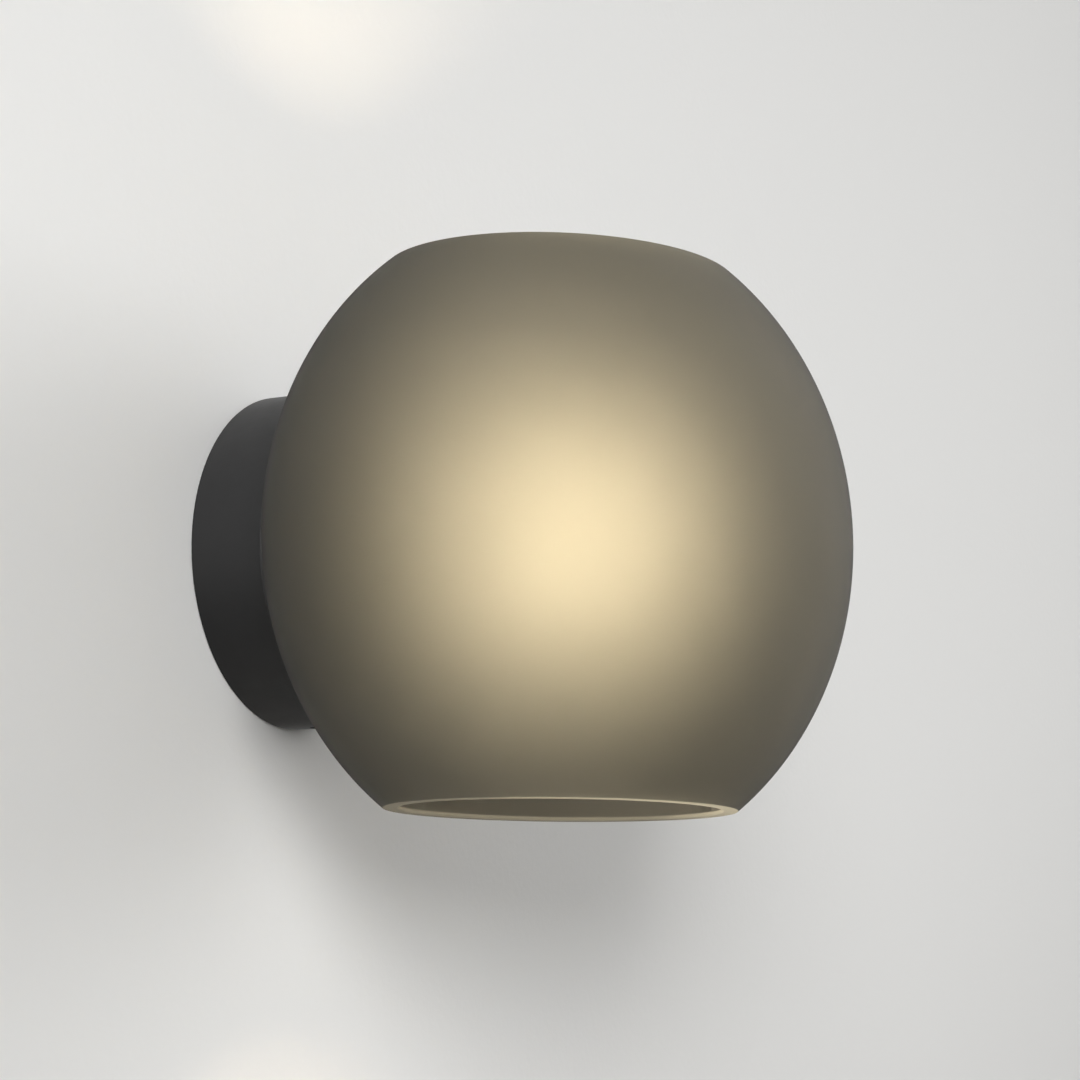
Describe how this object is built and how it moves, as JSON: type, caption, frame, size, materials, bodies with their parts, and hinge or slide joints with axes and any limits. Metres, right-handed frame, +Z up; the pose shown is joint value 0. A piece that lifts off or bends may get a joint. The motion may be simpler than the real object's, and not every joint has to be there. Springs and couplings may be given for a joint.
{
  "type": "globe wall sconce",
  "caption": "Wall light with a flattened globe of smoked satin glass, open above and below, on a round black canopy with its bracket, lampholder and screw-in lamp.",
  "frame": {"origin": "centre of the bracket's slot pattern and of the canopy's back, on the wall plane", "axes": "+Y into the wall, -Y out into the room along the lamp's axis, +Z up, X level along the wall"},
  "size_m": [0.23, 0.2088, 0.185],
  "materials": {
    "zinc_plated_steel": "bright zinc plate",
    "black_rubber": "matte moulded rubber",
    "brass": "turned brass",
    "black_powder_coat": "fine matte powder coat",
    "black_foam": "closed-cell foam",
    "blackened_steel": "black oxide",
    "white_nylon": "moulded nylon",
    "tinned_copper": "tinned",
    "earth_insulation": "green and yellow insulation",
    "brown_insulation": "brown insulation",
    "blue_insulation": "blue insulation",
    "smoked_satin_glass": "satin-etched smoked glass",
    "grey_silicone": "translucent grey silicone",
    "black_anodised_aluminium": "black anodised",
    "black_phenolic": "black phenolic moulding",
    "ceramic": "glazed steatite",
    "phosphor_bronze": "spring strip",
    "nickelled_brass": "nickel plate",
    "black_glass": "pressed black glass",
    "solder": "solder",
    "white_polycarbonate": "satin white moulding",
    "opal_polycarbonate": "opal, lit",
    "aluminium": "die-cast",
    "white_circuit_board": "white solder mask",
    "led_phosphor": "yellow phosphor",
    "green_circuit_board": "green solder mask",
    "driver_plastic": "component sleeves"
  },
  "bodies": {
    "bracket": {"wall_bracket": "zinc_plated_steel", "cable_grommet": "black_rubber", "bracket_earth_screw": "brass", "bracket_earth_washer": "brass"},
    "canopy": {"canopy": "black_powder_coat", "wall_foam": "black_foam", "rim_bosses": "zinc_plated_steel", "nipple": "brass", "lock_nut": "zinc_plated_steel", "tooth_washer": "zinc_plated_steel", "nipple_bush": "white_nylon", "terminal_block": "white_nylon", "terminal_poles": "brass", "terminal_screws": "zinc_plated_steel", "block_screws": "zinc_plated_steel", "earth_stud": "brass", "earth_washer": "brass", "earth_lug": "tinned_copper", "earth_nut": "brass", "earth_lead": "earth_insulation", "live_lead": "brown_insulation", "neutral_lead": "blue_insulation", "back_ring": "grey_silicone", "glass_carrier": "black_anodised_aluminium", "holder_cap": "black_phenolic", "holder_skirt": "black_phenolic", "holder_core": "ceramic", "screw_shell": "brass", "contact_tongue": "phosphor_bronze", "contact_rivets": "brass", "holder_terminals": "brass", "holder_terminal_screws": "zinc_plated_steel"},
    "shade": {"glass_shade": "smoked_satin_glass", "front_ring": "grey_silicone"},
    "clamp_ring": {"clamp_ring": "black_anodised_aluminium"},
    "bulb": {"bulb_cap": "nickelled_brass", "bulb_insulator": "black_glass", "bulb_contact": "solder", "bulb_housing": "white_polycarbonate", "bulb_globe": "opal_polycarbonate", "heat_sink": "aluminium", "led_board": "white_circuit_board", "led_chips": "led_phosphor", "driver_board": "green_circuit_board", "driver_components": "driver_plastic", "driver_wires": "tinned_copper"},
    "top_set_screw": {"top_set_screw": "blackened_steel"},
    "bottom_set_screw": {"bottom_set_screw": "blackened_steel"}
  },
  "joints": [
    {"name": "canopy_pull", "type": "slide", "parent": "bracket", "child": "canopy", "axis": [0, -1, 0], "range_m": [0, 0.035]},
    {"name": "shade_turn", "type": "hinge", "parent": "canopy", "child": "shade", "pos_m": [0, -0.0325, 0], "axis": [0, -1, 0], "continuous": true},
    {"name": "ring_turn", "type": "hinge", "parent": "canopy", "child": "clamp_ring", "pos_m": [0, -0.0395, 0], "axis": [0, -1, 0], "continuous": true},
    {"name": "bulb_turn", "type": "hinge", "parent": "canopy", "child": "bulb", "pos_m": [0, -0.0712, 0], "axis": [0, -1, 0], "continuous": true},
    {"name": "top_screw_out", "type": "slide", "parent": "canopy", "child": "top_set_screw", "axis": [0, 0, 1], "range_m": [0, 0.004]},
    {"name": "bottom_screw_out", "type": "slide", "parent": "canopy", "child": "bottom_set_screw", "axis": [0, 0, -1], "range_m": [0, 0.004]}
  ]
}
